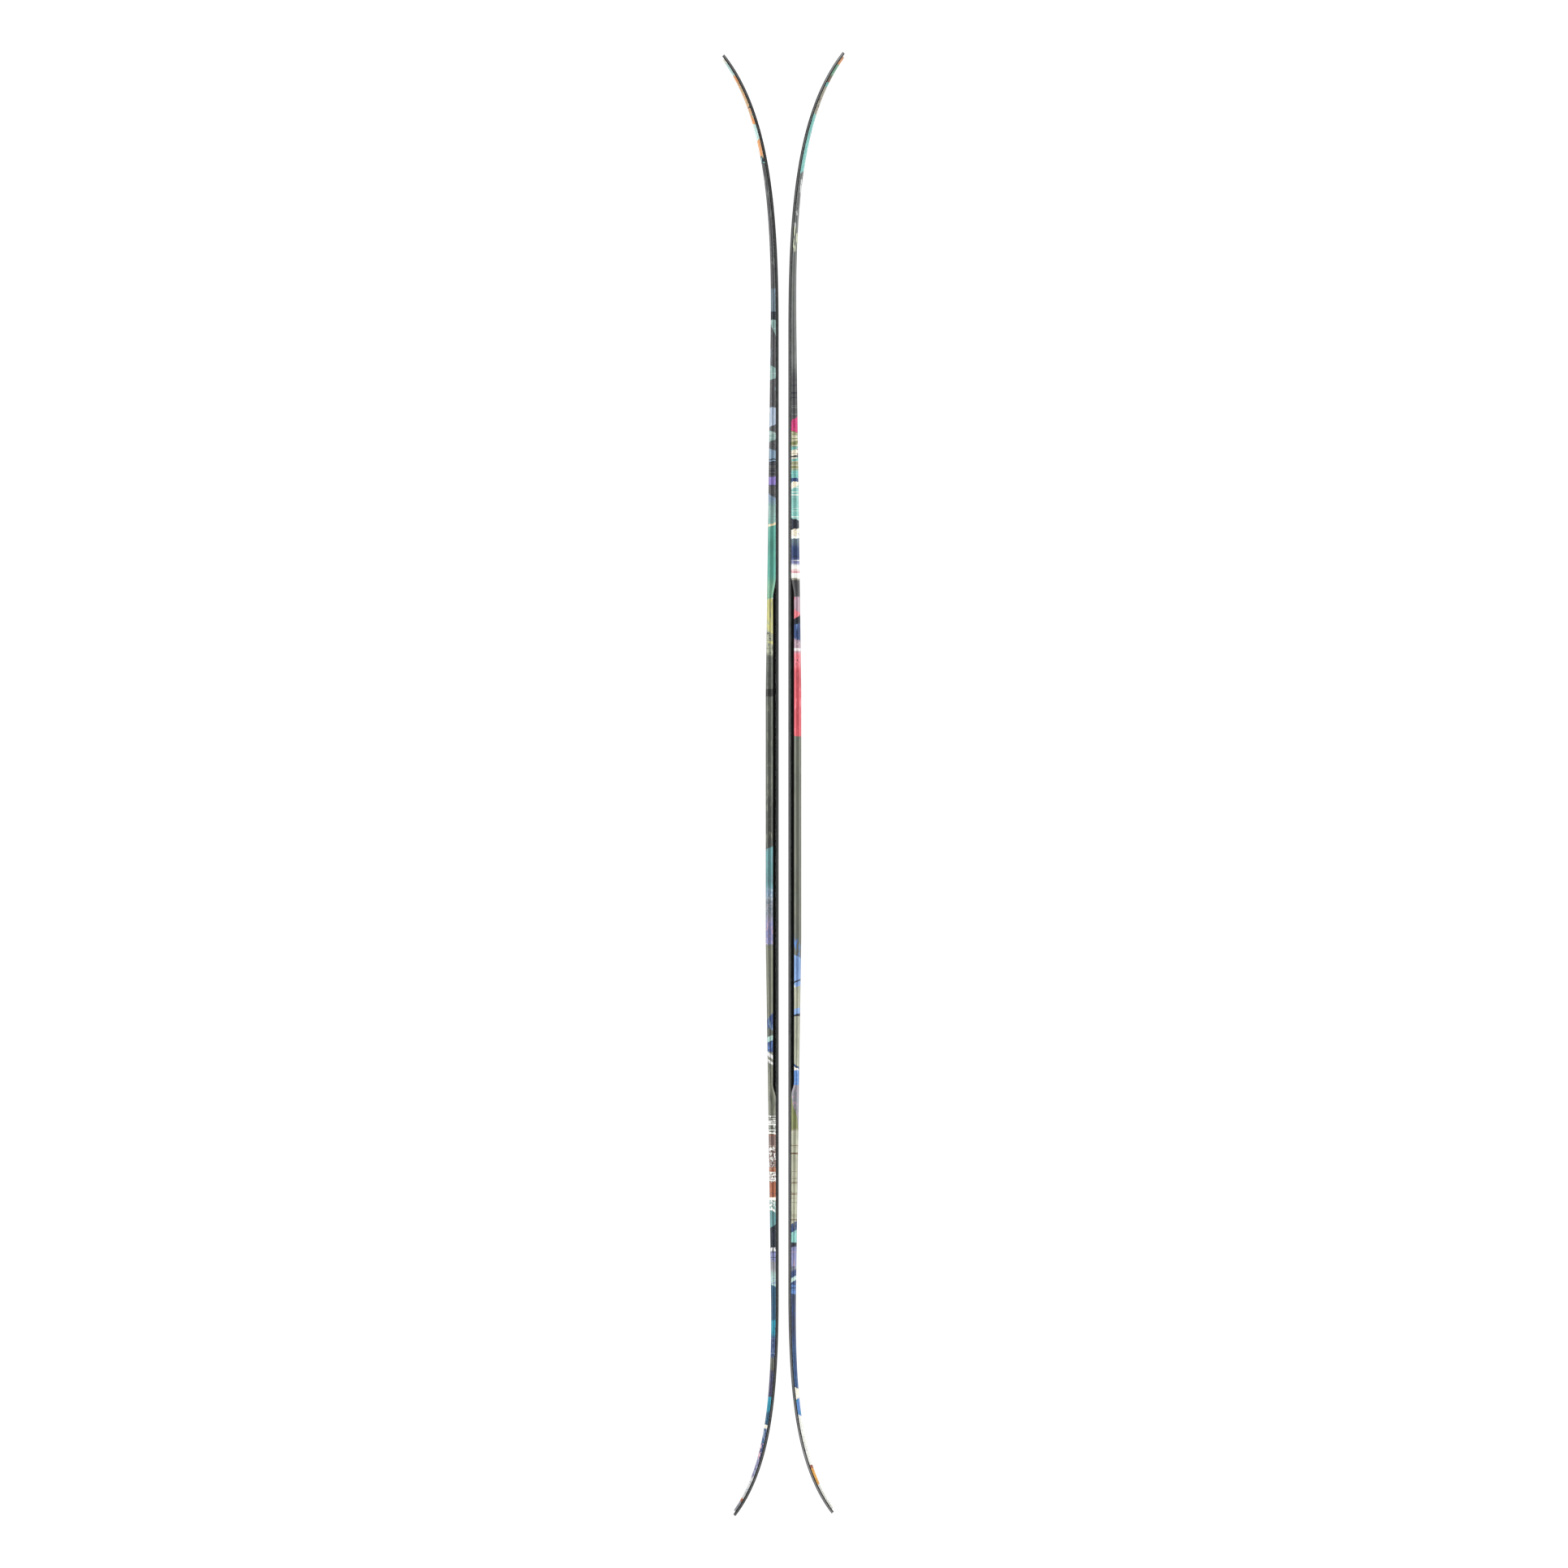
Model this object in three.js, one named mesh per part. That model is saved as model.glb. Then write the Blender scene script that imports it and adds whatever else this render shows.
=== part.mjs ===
// A pair of twin-tip alpine skis without bindings, upright, tips up and base to base.
//
// Units are millimetres. +Z runs up along the skis from tail to tip, +X crosses the gap between
// the two bases, and +Y runs across their width. The origin is on the pair's centre line, at the
// height where the pegs of a ski rack carry the pair under its shovels.
//
// Each ski is laid out in three coordinates of its own: s, the distance along the base from the
// tail end; inset, the distance inwards from the outline of the steel edges; and height, the
// distance from the running surface towards the top sheet.
import * as THREE from "three";

// Driving dimensions of one ski.
const LENGTH = 1800; // along the base
const SHOVEL_WIDTH = 138;
const WAIST_WIDTH = 110;
const TAIL_WIDTH = 130;
const SHOVEL_AT = 1630; // s of the widest point in front
const WAIST_AT = 835;
const TAIL_AT = 130; // s of the widest point behind
const ROUND_END = 2.3; // exponent of the superellipse that closes the outline at both ends

// Rocker: the base leaves the flat by an angle in degrees that grows along its last stretch.
const TIP_ROCKER = { length: 362, soft: [18.2, 1.6], steep: [20.4, 4.4] };
const TAIL_ROCKER = { length: 274, soft: [9.6, 1.0], steep: [28.1, 3.3] };

// Thickness: a level platform underfoot that thins towards both ends.
const PLATFORM = [710, 1010];
const PLATFORM_THICKNESS = 15.8;
const END_THICKNESS = 6.1;
const THINNING = 1.15; // 1 would be a straight line

// Layers, as heights above the running surface.
const BOND = 0.2; // glue line between two layers
const SIDE_GAP = 0.3; // glue line between two side faces
const SEAM = 0.1; // half the joint between the two edges at the tip and the tail
const BASE_THICKNESS = 1.4;
const EDGE_HEIGHT = 2.3;
const EDGE_WIDTH = 2;
const TANG_WIDTH = 7; // from the outline to the end of the edge's anchoring flange
const FOIL_THICKNESS = 0.25;
const FOIL_WIDTH = 7.5;
const RIM_INSET = 0.4; // of the foil and the lower laminate
const LAMINATE_RIM = 0.4;
const UPPER_LAMINATE = 0.35;
const PLATE_THICKNESS = 0.6;
const PLATE = [560, 1090];
const PLATE_INSET = 10;
const SKIN = 0.7; // top sheet

// Cap and sidewalls.
const SIDEWALL = [518, 1152];
const SIDEWALL_WIDTH = 8;
const SIDEWALL_TOP = 7.1; // height of the cap's lip above the base, underfoot
const TAPER_BEHIND = 17; // stretch over which the lip climbs onto the sidewall
const TAPER_AHEAD = 27;
const TAPER_CUT = 0.2; // share of each taper where the sidewall is too thin to exist
const CAP_INSET = 0.6;
const CAP_INSET_AT_END = 4.2; // the edges stand this far out beyond the cap at tip and tail
const CAP_END_BLEND = 60;
const LIP = 2.2;
const BEVEL = 2;

// The pair.
const PAIR_GAP = 11.7; // between the two running surfaces
const STAGGER = 3.2; // the right ski stands this much higher
const RACK_HEIGHT = 1340; // of the origin above the left ski's tail

const FOIL_BOTTOM = EDGE_HEIGHT + BOND;
const FOIL_TOP = FOIL_BOTTOM + FOIL_THICKNESS;
const TANG_BOTTOM = BASE_THICKNESS + BOND;
const RIM_BOTTOM = FOIL_TOP + BOND;
const RIM_TOP = RIM_BOTTOM + LAMINATE_RIM;
const CORE_BOTTOM = RIM_TOP + BOND;

const degrees = THREE.MathUtils.degToRad;
const mix = THREE.MathUtils.lerp;
const ramp = THREE.MathUtils.smoothstep;

// How far the base is tilted off the flat at s, in radians: positive in the tip, negative in the tail.
function tiltAt(s) {
  const tip = Math.max(0, (s - LENGTH + TIP_ROCKER.length) / TIP_ROCKER.length);
  const tail = Math.max(0, (TAIL_ROCKER.length - s) / TAIL_ROCKER.length);
  const bend = (rocker, v) =>
    rocker.soft[0] * v ** rocker.soft[1] + rocker.steep[0] * v ** rocker.steep[1];
  return degrees(bend(TIP_ROCKER, tip) - bend(TAIL_ROCKER, tail));
}

// The running surface's centre line as points a millimetre apart, with its flat part on x = 0 and
// the tail end at z = 0.
function makeBaseLine() {
  const line = [new THREE.Vector2(0, 0)];
  for (let s = 0; s < LENGTH; s += 1) {
    const tilt = tiltAt(s + 0.5);
    const step = new THREE.Vector2(-Math.sin(tilt), Math.cos(tilt));
    line.push(line[s].clone().add(step));
  }
  const flat = line[WAIST_AT].x;
  line.forEach((p) => p.setX(p.x - flat));
  return line;
}

const baseLine = makeBaseLine();

// A point of the ski from its distance along the base, across it and above it.
function place(s, across, height) {
  const i = Math.min(Math.floor(s), LENGTH - 1);
  const foot = baseLine[i].clone().lerp(baseLine[i + 1], s - i);
  const tilt = tiltAt(s);
  const x = foot.x - height * Math.cos(tilt);
  const z = foot.y - height * Math.sin(tilt);
  return new THREE.Vector3(x, across, z);
}

// Half the width of the sidecut at s. Its slope is zero at the waist and at both widest points.
function sidecut(s) {
  const ahead = s > WAIST_AT;
  const u = (s - WAIST_AT) / ((ahead ? SHOVEL_AT : TAIL_AT) - WAIST_AT);
  const flare = ((ahead ? SHOVEL_WIDTH : TAIL_WIDTH) - WAIST_WIDTH) / 2;
  return WAIST_WIDTH / 2 + (flare * (4 * u ** 2 - u ** 8)) / 3;
}

// The outline at s: half the width, and the unit normal there as its parts along and across.
function outlineAt(s) {
  if (s >= TAIL_AT && s <= SHOVEL_AT) return { across: sidecut(s), along: 0, out: 1 };
  const ahead = s > SHOVEL_AT;
  const reach = ahead ? LENGTH - SHOVEL_AT : TAIL_AT;
  const wide = (ahead ? SHOVEL_WIDTH : TAIL_WIDTH) / 2;
  const u = Math.min(1, Math.abs(s - (ahead ? SHOVEL_AT : TAIL_AT)) / reach);
  const w = (1 - u ** ROUND_END) ** (1 / ROUND_END);
  const normal = new THREE.Vector2(
    u ** (ROUND_END - 1) / reach,
    w ** (ROUND_END - 1) / wide,
  ).normalize();
  return { across: wide * w, along: ahead ? normal.x : -normal.x, out: normal.y };
}

function thicknessAt(s) {
  const [behind, ahead] = PLATFORM;
  const away = Math.max(0, (behind - s) / behind, (s - ahead) / (LENGTH - ahead));
  return END_THICKNESS + (PLATFORM_THICKNESS - END_THICKNESS) * (1 - away) ** THINNING;
}

// Height of the cap's lower rim: on the laminate at both ends, on top of the sidewalls underfoot.
function lipAt(s) {
  const climb = ramp(s, SIDEWALL[0], SIDEWALL[0] + TAPER_BEHIND);
  const fall = 1 - ramp(s, SIDEWALL[1] - TAPER_AHEAD, SIDEWALL[1]);
  return mix(CORE_BOTTOM, SIDEWALL_TOP, Math.min(climb, fall));
}

// The cap's outer profile at s, rim to top, as [inset, height] pairs.
function capOutside(s) {
  const toEnd = Math.min(s, LENGTH - s);
  const rim = mix(CAP_INSET_AT_END, CAP_INSET, ramp(toEnd, 0, CAP_END_BLEND));
  const bottom = lipAt(s);
  const top = thicknessAt(s);
  const lip = Math.min(LIP, 0.22 * (top - bottom));
  const bevel = Math.min(BEVEL, 0.3 * (top - bottom));
  const lipInset = rim + 0.4 * lip;
  const wallInset = lipInset + 0.13 * (top - bevel - lip - bottom);
  return [
    [rim, bottom],
    [lipInset, bottom + lip],
    [wallInset, top - bevel],
    [wallInset + 1.2 * bevel, top],
  ];
}

// The cap's inner profile, which everything under it follows.
function capInside(s) {
  const [rim, , wall, top] = capOutside(s);
  return [
    [rim[0] + 1.1, rim[1]],
    [wall[0] + 0.75, wall[1] - 0.3],
    [top[0] + 0.3, top[1] - SKIN],
  ];
}

// Inset of a piece that fills the cap, at a height: the cap's inner face and the side gap.
function insideCap(s, height) {
  const profile = capInside(s);
  const next = Math.max(1, profile.findIndex((p) => p[1] >= height));
  const [a, b] = [profile[next - 1], profile[next]];
  return mix(a[0], b[0], (height - a[1]) / (b[1] - a[1])) + SIDE_GAP;
}

const laminateTop = (s) => thicknessAt(s) - SKIN - BOND;
const laminateBottom = (s) => laminateTop(s) - UPPER_LAMINATE;
const fillTop = (s) => laminateBottom(s) - BOND; // top of the sidewalls, spacers and bare core

const evenly = (from, to, steps) =>
  Array.from({ length: steps + 1 }, (_, i) => mix(from, to, i / steps));

// Stations along the ski, closer together where it bends and where its outline turns.
function allStations() {
  const quarter = (steps) => evenly(0, Math.PI / 2, steps).map(Math.sin);
  const tail = quarter(9).map((v) => TAIL_AT * (1 - v));
  const tip = quarter(12).map((v) => SHOVEL_AT + (LENGTH - SHOVEL_AT) * v);
  return tail.concat(
    evenly(TAIL_AT, TAIL_ROCKER.length, 6),
    evenly(TAIL_ROCKER.length, PLATFORM[0], 4),
    PLATFORM,
    evenly(PLATFORM[1], LENGTH - TIP_ROCKER.length, 4),
    evenly(LENGTH - TIP_ROCKER.length, SHOVEL_AT, 8),
    tip,
  );
}

const increasing = (list) => [...new Set(list)].sort((a, b) => a - b);
const STATIONS = increasing(allStations());
const TAPERS = [
  ...evenly(SIDEWALL[0], SIDEWALL[0] + TAPER_BEHIND, 5),
  ...evenly(SIDEWALL[1] - TAPER_AHEAD, SIDEWALL[1], 5),
];
// What fills the cap also needs the stations where the cap's rim climbs onto the sidewalls.
const CAP_STATIONS = increasing([...STATIONS, ...TAPERS]);
const between = (from, to) =>
  increasing([from, ...CAP_STATIONS.filter((s) => s > from && s < to), to]);

// A closed solid through one loop of points per station. Loops that shrink onto the centre line
// close themselves; the others get a face.
function loft(loops, sections) {
  const positions = [];
  const known = new Map();
  const indices = [];
  const vertex = (p) => {
    const key = p.toArray().map((v) => v.toFixed(4)).join();
    if (!known.has(key)) {
      known.set(key, positions.length / 3);
      positions.push(...p);
    }
    return known.get(key);
  };
  const rings = loops.map((loop) => loop.map(vertex));
  const face = (a, b, c) => {
    if (a !== b && b !== c && c !== a) indices.push(a, b, c);
  };
  rings.slice(1).forEach((ring, i) => {
    const last = rings[i];
    ring.forEach((_, k) => {
      const n = (k + 1) % ring.length;
      face(last[k], last[n], ring[n]);
      face(last[k], ring[n], ring[k]);
    });
  });
  const close = (ring, section, flip) => {
    if (new Set(ring).size < ring.length) return;
    const turn = THREE.ShapeUtils.area(section) > 0 ? flip : !flip;
    THREE.ShapeUtils.triangulateShape(section, []).forEach(([a, b, c]) =>
      turn ? face(ring[a], ring[c], ring[b]) : face(ring[a], ring[b], ring[c]),
    );
  };
  close(rings[0], sections[0], true);
  close(rings.at(-1), sections.at(-1), false);
  const geometry = new THREE.BufferGeometry();
  geometry.setAttribute("position", new THREE.Float32BufferAttribute(positions, 3));
  geometry.setIndex(indices);
  return geometry;
}

// Lofts one closed profile of [inset, height] pairs on one side of the ski (side is 1 or -1).
function strip(stations, profileAt, side) {
  const order = (list) => (side > 0 ? list : [...list].reverse());
  const loops = [];
  const sections = [];
  stations.forEach((s) => {
    const { across, along, out } = outlineAt(s);
    const points = order(profileAt(s));
    loops.push(
      points.map(([inset, height]) =>
        place(s - along * inset, side * Math.max(SEAM, across - out * inset), height),
      ),
    );
    sections.push(points.map(([inset, height]) => new THREE.Vector2(-side * inset, height)));
  });
  return loft(loops, sections);
}

// Lofts a profile that is the same on both sides: half of it, from the bottom to the top.
function layer(stations, halfAt) {
  const loops = [];
  const sections = [];
  stations.forEach((s) => {
    const { across, along, out } = outlineAt(s);
    const half = halfAt(s).map(([inset, height]) => ({
      at: s - along * inset,
      wide: Math.max(0, across - out * inset),
      height,
    }));
    const both = [
      ...half.map((p) => [p, 1]),
      ...[...half].reverse().map((p) => [p, -1]),
    ];
    loops.push(both.map(([p, side]) => place(p.at, side * p.wide, p.height)));
    sections.push(both.map(([p, side]) => new THREE.Vector2(side * p.wide, p.height)));
  });
  return loft(loops, sections);
}

function base() {
  const inset = EDGE_WIDTH + SIDE_GAP;
  return layer(STATIONS, () => [
    [inset, 0],
    [inset, BASE_THICKNESS],
  ]);
}

function edge(side) {
  return strip(
    STATIONS,
    () => [
      [EDGE_WIDTH, 0],
      [0, 0],
      [0, EDGE_HEIGHT],
      [TANG_WIDTH, EDGE_HEIGHT],
      [TANG_WIDTH, TANG_BOTTOM],
      [EDGE_WIDTH, TANG_BOTTOM],
    ],
    side,
  );
}

function edgeFoil(side) {
  return strip(
    STATIONS,
    () => [
      [FOIL_WIDTH, FOIL_BOTTOM],
      [RIM_INSET, FOIL_BOTTOM],
      [RIM_INSET, FOIL_TOP],
      [FOIL_WIDTH, FOIL_TOP],
    ],
    side,
  );
}

// A rim that lies on the edges and their foil, and a thicker middle that fills in between them.
function lowerLaminate() {
  const middle = FOIL_WIDTH + SIDE_GAP;
  return layer(STATIONS, () => [
    [middle, TANG_BOTTOM],
    [middle, RIM_BOTTOM],
    [RIM_INSET, RIM_BOTTOM],
    [RIM_INSET, RIM_TOP],
  ]);
}

// The three rings of a piece that fills the cap from the laminate up to a height.
function filling(s, top) {
  return [0, 0.8, 1].map((share) => {
    const height = mix(CORE_BOTTOM, top, share);
    return [insideCap(s, height), height];
  });
}

const SIDEWALL_SPAN = [
  SIDEWALL[0] + TAPER_CUT * TAPER_BEHIND,
  SIDEWALL[1] - TAPER_CUT * TAPER_AHEAD,
];

// The wood core is narrower between the sidewalls and lower under the binding plate, so it is
// lofted in stretches that share their end stations.
function core() {
  const grown = ([from, to]) => [from - SIDE_GAP, to + SIDE_GAP];
  const pocket = grown(SIDEWALL_SPAN);
  const recess = grown(PLATE);
  const cuts = [TAIL_AT + SIDE_GAP, pocket[0], recess[0], recess[1], pocket[1], SHOVEL_AT - SIDE_GAP];
  const stretches = cuts.slice(1).map((to, i) => {
    const from = cuts[i];
    const middle = (from + to) / 2;
    const beside = middle > pocket[0] && middle < pocket[1];
    const under = middle > recess[0] && middle < recess[1];
    return between(from, to).map((s) => ({ s, beside, under }));
  });
  const stations = stretches.flat();
  const rings = (station) => {
    const drop = station.under ? PLATE_THICKNESS + BOND : 0;
    const free = filling(station.s, fillTop(station.s) - drop);
    return station.beside ? free.map(([, h]) => [SIDEWALL_WIDTH + SIDE_GAP, h]) : free;
  };
  return layerOf(stations, rings);
}

// As layer, for stations that carry more than their s.
function layerOf(stations, ringsOf) {
  let next = 0;
  return layer(
    stations.map((station) => station.s),
    () => ringsOf(stations[next++]),
  );
}

function spacer(from, to) {
  return layer(between(from, to), (s) => filling(s, fillTop(s)));
}

function sidewall(side) {
  const [from, to] = SIDEWALL_SPAN;
  return strip(
    between(from, to),
    (s) => {
      const [rim, wall] = capInside(s);
      const ledge = lipAt(s) - BOND;
      const top = fillTop(s);
      return [
        [SIDEWALL_WIDTH, CORE_BOTTOM],
        [CAP_INSET - 0.1, CORE_BOTTOM],
        [CAP_INSET + 0.1, ledge],
        [rim[0] + SIDE_GAP, ledge],
        [wall[0] + SIDE_GAP, wall[1]],
        [insideCap(s, top), top],
        [SIDEWALL_WIDTH, top],
      ];
    },
    side,
  );
}

function bindingPlate() {
  return layer(between(PLATE[0], PLATE[1]), (s) => {
    const top = laminateBottom(s) - BOND;
    return [
      [PLATE_INSET, top - PLATE_THICKNESS],
      [PLATE_INSET, top],
    ];
  });
}

function upperLaminate() {
  return layer(CAP_STATIONS, (s) =>
    [laminateBottom(s), laminateTop(s)].map((height) => [insideCap(s, height), height]),
  );
}

function topSheet() {
  return layer(CAP_STATIONS, (s) => [
    ...capInside(s).reverse(),
    ...capOutside(s),
  ]);
}

const surface = (color, roughness, metalness = 0) =>
  new THREE.MeshStandardMaterial({ color, roughness, metalness });

// One ski, tips bending towards -X. inside is the side of the edge that faces the other foot.
function makeSki(name, inside, topColor) {
  const ski = new THREE.Group();
  const rubber = surface(0x1b1b1c, 0.8);
  const steel = surface(0x6b6d6e, 0.38, 1);
  const laminate = surface(0x2a2c2b, 0.5);
  const plastic = surface(0x0c0c0d, 0.5);
  const add = (part, geometry, material) => {
    const mesh = new THREE.Mesh(geometry, material);
    mesh.name = `${name}_${part}`;
    ski.add(mesh);
  };
  add("base", base(), surface(0x232426, 0.45));
  add("lower_laminate", lowerLaminate(), laminate);
  for (const [where, side] of [["inside", inside], ["outside", -inside]]) {
    add(`${where}_edge`, edge(side), steel);
    add(`${where}_edge_foil`, edgeFoil(side), rubber);
    add(`${where}_sidewall`, sidewall(side), plastic);
  }
  add("wood_core", core(), surface(0xc9a671, 0.7));
  add("tip_spacer", spacer(SHOVEL_AT, LENGTH), plastic);
  add("tail_spacer", spacer(0, TAIL_AT), plastic);
  add("binding_plate", bindingPlate(), surface(0xb9bcbf, 0.35, 1));
  add("upper_laminate", upperLaminate(), laminate);
  add("top_sheet", topSheet(), surface(topColor, 0.4));
  return ski;
}

function makePair() {
  const pair = new THREE.Group();
  const left = makeSki("left_ski", -1, 0x56604f);
  left.position.set(-PAIR_GAP / 2, 0, -RACK_HEIGHT);
  const right = makeSki("right_ski", 1, 0x6d7165);
  right.rotation.z = Math.PI;
  right.position.set(PAIR_GAP / 2, 0, STAGGER - RACK_HEIGHT);
  pair.add(left, right);
  return pair;
}

export default makePair();
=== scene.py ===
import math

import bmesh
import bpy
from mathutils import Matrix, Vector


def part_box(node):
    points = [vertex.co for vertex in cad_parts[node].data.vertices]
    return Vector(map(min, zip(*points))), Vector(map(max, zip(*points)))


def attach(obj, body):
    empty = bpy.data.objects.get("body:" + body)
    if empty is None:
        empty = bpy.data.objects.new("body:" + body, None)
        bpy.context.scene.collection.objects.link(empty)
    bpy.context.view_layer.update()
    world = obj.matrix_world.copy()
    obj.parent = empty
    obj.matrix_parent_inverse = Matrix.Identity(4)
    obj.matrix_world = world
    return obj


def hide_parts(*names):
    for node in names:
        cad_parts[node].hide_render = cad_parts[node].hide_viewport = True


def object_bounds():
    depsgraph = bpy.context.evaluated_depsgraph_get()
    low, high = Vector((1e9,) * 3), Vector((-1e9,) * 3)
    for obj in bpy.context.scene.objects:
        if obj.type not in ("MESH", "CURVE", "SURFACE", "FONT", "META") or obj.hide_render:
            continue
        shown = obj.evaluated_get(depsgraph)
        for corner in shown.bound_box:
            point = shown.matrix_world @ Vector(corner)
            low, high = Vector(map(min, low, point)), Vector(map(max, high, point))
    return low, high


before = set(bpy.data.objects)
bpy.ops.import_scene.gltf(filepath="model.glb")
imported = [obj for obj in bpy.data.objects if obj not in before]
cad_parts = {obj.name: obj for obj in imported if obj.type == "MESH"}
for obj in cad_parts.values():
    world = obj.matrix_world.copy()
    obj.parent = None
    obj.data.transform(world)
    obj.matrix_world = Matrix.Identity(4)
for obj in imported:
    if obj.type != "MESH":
        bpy.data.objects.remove(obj)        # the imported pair: bodies left_ski and right_ski, 14 nodes each

# The looks of a pair of twin-tip alpine skis without bindings, upright and base to base.
#
# The skis' outer pieces are lofted again here, more finely and with eased corners, from the CAD
# part's driving dimensions, apart from closer glue lines and rims. What lies sealed inside stays
# the CAD's own.
# Lengths are millimetres until a mesh is made. Each ski is laid out in coordinates of its own:
# s, the distance along the base from the tail; inset, the distance inwards from the outline; and
# height, the distance from the running surface towards the top sheet.

MM = 0.001
CAD_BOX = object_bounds()

# One ski. A rocker is its length, then the gentle and the steep part of its bend, each as the
# degrees that it reaches at the end and the power that it grows with.
LENGTH = 1800
SHOVEL_WIDTH, WAIST_WIDTH, TAIL_WIDTH = 138, 110, 130
SHOVEL_AT, WAIST_AT, TAIL_AT = 1630, 835, 130
ROUND_END = 2.3
TIP_ROCKER = (362, (18.2, 1.6), (20.4, 4.4))
TAIL_ROCKER = (274, (9.6, 1.0), (28.1, 3.3))
PLATFORM = (710, 1010)
PLATFORM_THICKNESS, END_THICKNESS = 15.8, 6.1
THINNING = 1.15

# Layers. BOND is the CAD's glue line, and HAIRLINE what is left of it where it shows.
BOND = 0.2
HAIRLINE = 0.02
SIDE_GAP = 0.3
SEAM = 0.1
BASE_THICKNESS = 1.4
EDGE_HEIGHT, EDGE_WIDTH, TANG_WIDTH = 2.3, 2, 7
FOIL_THICKNESS, FOIL_WIDTH = 0.25, 7.5
RIM_INSET, FOIL_RECESS = 0.25, 0.35
LAMINATE_RIM = 0.4
UPPER_LAMINATE = 0.35
SKIN = 0.7
TANG_BOTTOM = BASE_THICKNESS + BOND
RIM_BOTTOM = EDGE_HEIGHT + BOND + FOIL_THICKNESS + BOND
CORE_BOTTOM = RIM_BOTTOM + LAMINATE_RIM + BOND

# Cap and sidewalls. A share is of the cap's height there, and a slope is inset for height.
SIDEWALL = (518, 1152)
SIDEWALL_WIDTH, SIDEWALL_TOP = 8, 7.1
TAPER_BEHIND, TAPER_AHEAD, TAPER_CUT = 17, 27, 0.2
CAP_INSET, CAP_INSET_AT_END, CAP_END_BLEND = 0.6, 4.2, 60
WALL_LEAN = 0.1
LIP, LIP_SHARE, LIP_SLOPE = 2.2, 0.22, 0.4
BEVEL, BEVEL_SHARE, BEVEL_SLOPE = 2, 0.3, 1.2
WALL_SLOPE = 0.13
RIM_WIDTH, WALL_SKIN, INNER_EASE = 1.1, 0.75, 0.3


def mix(a, b, t):
    return a + (b - a) * t


def ramp(x, start, end):
    t = min(1, max(0, (x - start) / (end - start)))
    return t * t * (3 - 2 * t)


# --- The ski's lines ---------------------------------------------------------------------------

def tilt_at(s):
    """How far the base is tilted off the flat at s, in radians: up in the tip, down in the tail."""
    def bend(rocker, share):
        _, soft, steep = rocker
        return soft[0] * share ** soft[1] + steep[0] * share ** steep[1]
    tip = max(0, (s - LENGTH + TIP_ROCKER[0]) / TIP_ROCKER[0])
    tail = max(0, (TAIL_ROCKER[0] - s) / TAIL_ROCKER[0])
    return math.radians(bend(TIP_ROCKER, tip) - bend(TAIL_ROCKER, tail))


def make_base_line():
    """The running surface's centre line, a point every millimetre, flat on x = 0."""
    line = [Vector((0, 0))]
    for s in range(LENGTH):
        tilt = tilt_at(s + 0.5)
        line.append(line[-1] + Vector((-math.sin(tilt), math.cos(tilt))))
    flat = Vector((line[WAIST_AT].x, 0))
    return [p - flat for p in line]


BASE_LINE = make_base_line()


def place(s, across, height):
    """A point of the ski: X towards the side of the base, Y across, Z up from the tail."""
    i = min(int(s), LENGTH - 1)
    foot = BASE_LINE[i].lerp(BASE_LINE[i + 1], s - i)
    tilt = tilt_at(s)
    return Vector((foot.x - height * math.cos(tilt), across, foot.y - height * math.sin(tilt)))


def sidecut(s):
    """Half the width between the widest points of tail and shovel."""
    ahead = s > WAIST_AT
    u = (s - WAIST_AT) / ((SHOVEL_AT if ahead else TAIL_AT) - WAIST_AT)
    flare = ((SHOVEL_WIDTH if ahead else TAIL_WIDTH) - WAIST_WIDTH) / 2
    return WAIST_WIDTH / 2 + flare * (4 * u ** 2 - u ** 8) / 3


def outline_at(s):
    """Half the width at s, and the outline's unit normal as its parts along and across the ski."""
    if TAIL_AT <= s <= SHOVEL_AT:
        return sidecut(s), 0, 1
    ahead = s > SHOVEL_AT
    reach = LENGTH - SHOVEL_AT if ahead else TAIL_AT
    wide = (SHOVEL_WIDTH if ahead else TAIL_WIDTH) / 2
    u = min(1, abs(s - (SHOVEL_AT if ahead else TAIL_AT)) / reach)
    w = (1 - u ** ROUND_END) ** (1 / ROUND_END)
    normal = Vector((u ** (ROUND_END - 1) / reach, w ** (ROUND_END - 1) / wide)).normalized()
    return wide * w, normal.x if ahead else -normal.x, normal.y


def thickness_at(s):
    behind, ahead = PLATFORM
    away = max(0, (behind - s) / behind, (s - ahead) / (LENGTH - ahead))
    return END_THICKNESS + (PLATFORM_THICKNESS - END_THICKNESS) * (1 - away) ** THINNING


def lip_at(s):
    """Height of the cap's rim: on the laminate at both ends, on top of the sidewalls underfoot."""
    climb = ramp(s, SIDEWALL[0], SIDEWALL[0] + TAPER_BEHIND)
    fall = 1 - ramp(s, SIDEWALL[1] - TAPER_AHEAD, SIDEWALL[1])
    return mix(CORE_BOTTOM, SIDEWALL_TOP, min(climb, fall))


def cap_outside(s):
    """The cap's outer profile: rim, top of the lip, top of the wall, top of the bevel."""
    to_end = min(s, LENGTH - s)
    rim = mix(CAP_INSET_AT_END, CAP_INSET, ramp(to_end, 0, CAP_END_BLEND))
    bottom = lip_at(s)
    top = thickness_at(s)
    lip = min(LIP, LIP_SHARE * (top - bottom))
    bevel = min(BEVEL, BEVEL_SHARE * (top - bottom))
    lip_inset = rim + LIP_SLOPE * lip
    wall_inset = lip_inset + WALL_SLOPE * (top - bevel - lip - bottom)
    return [
        (rim, bottom),
        (lip_inset, bottom + lip),
        (wall_inset, top - bevel),
        (wall_inset + BEVEL_SLOPE * bevel, top),
    ]


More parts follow.
